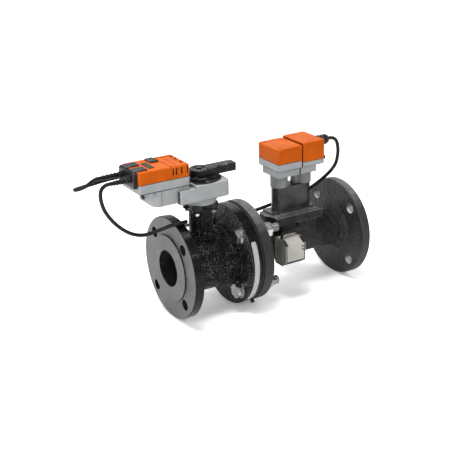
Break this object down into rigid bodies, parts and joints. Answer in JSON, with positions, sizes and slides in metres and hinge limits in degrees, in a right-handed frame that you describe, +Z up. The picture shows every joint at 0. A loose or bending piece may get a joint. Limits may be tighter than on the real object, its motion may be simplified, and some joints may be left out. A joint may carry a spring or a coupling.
{
  "type": "pressure independent control valve",
  "caption": "Flanged ball valve with a geared rotary actuator, bolted to an ultrasonic flow sensor with its own transmitter and cables.",
  "frame": {"origin": "centre of the inlet raised face, on the pipe axis", "axes": "+X along the pipe in the direction of flow, +Z up along the valve stem"},
  "size_m": [0.5282, 0.2995, 0.2899],
  "materials": {
    "body_iron": "gloss black paint over a rough casting",
    "seat_plastic": "turned",
    "stainless": "turned and ground",
    "gasket_sheet": "matt",
    "zinc_steel": "zinc plated",
    "black_metal": "satin black",
    "grey_plastic": "fine moulded texture",
    "gear_plastic": "moulded",
    "motor_steel": "turned",
    "board_green": "lacquered",
    "orange_plastic": "fine moulded texture",
    "black_plastic": "satin",
    "window_plastic": "smoked",
    "sensor_iron": "matt dark grey coating over a casting",
    "cream_plastic": "fine moulded texture",
    "seal_rubber": "matt",
    "plate_paint": "satin",
    "pillar_paint": "satin black",
    "cable_sheath": "matt",
    "tie_plastic": "moulded",
    "wire_plastic": "extruded"
  },
  "bodies": {
    "valve": {"valve_body": "body_iron", "body_end": "body_iron", "seat_rings": "seat_plastic", "flow_cup": "stainless", "stem_packing": "seat_plastic", "gland_ring": "stainless", "flange_gasket": "gasket_sheet", "flange_bolts": "zinc_steel", "flange_washers": "zinc_steel", "flange_nuts": "zinc_steel", "mounting_bracket": "black_metal", "bracket_screws": "zinc_steel", "base_bowl": "grey_plastic", "gear_case": "grey_plastic", "gear_pin": "stainless", "gear_motor": "motor_steel", "circuit_board": "board_green", "housing_tray": "grey_plastic", "housing_band": "grey_plastic", "motor_cover": "orange_plastic", "connector_near": "black_plastic", "connector_far": "black_plastic", "boot_near": "seal_rubber", "boot_far": "seal_rubber", "status_window": "window_plastic", "cover_screws": "zinc_steel", "stop_plate": "black_metal", "stop_screws": "zinc_steel", "sensor_body": "sensor_iron", "pod_covers": "cream_plastic", "pod_gaskets": "seal_rubber", "pod_end_plates": "plate_paint", "pod_leads": "cable_sheath", "sensor_pillar": "pillar_paint", "pillar_sleeves": "grey_plastic", "sensor_case_left": "grey_plastic", "sensor_case_right": "grey_plastic", "sensor_cap_left": "orange_plastic", "sensor_cap_right": "orange_plastic", "sensor_screws": "zinc_steel", "cable_gland": "black_plastic", "blank_plug": "black_plastic", "sensor_cable": "cable_sheath", "supply_cable": "cable_sheath", "supply_coil": "cable_sheath", "coil_tie": "tie_plastic", "wire_ends": "wire_plastic"},
    "drive": {"ball": "stainless", "stem": "stainless", "output_gear": "gear_plastic", "lever": "black_plastic", "lever_cap": "black_plastic", "lever_screw": "zinc_steel"},
    "compound": {"compound_gear": "gear_plastic"},
    "motor": {"motor_pinion": "motor_steel"},
    "button": {"release_button": "black_plastic"}
  },
  "joints": [
    {"name": "stem_turn", "type": "hinge", "parent": "valve", "child": "drive", "pos_m": [0.068, 0, 0], "axis": [0, 0, 1], "range_deg": [0, 90]},
    {"name": "compound_turn", "type": "hinge", "parent": "valve", "child": "compound", "pos_m": [0.026, 0, 0.145], "axis": [0, 0, 1], "range_deg": [-331, 1]},
    {"name": "motor_turn", "type": "hinge", "parent": "valve", "child": "motor", "pos_m": [-0.005, 0, 0.145], "axis": [0, 0, 1], "range_deg": [-1, 1376]},
    {"name": "button_press", "type": "slide", "parent": "valve", "child": "button", "axis": [0, 0, -1], "range_m": [0, 0.0035], "stiffness_N_per_m": 800}
  ],
  "couplings": [
    {"joint": "compound_turn", "follows": "stem_turn", "ratio": -3.6667},
    {"joint": "motor_turn", "follows": "stem_turn", "ratio": 15.278}
  ]
}
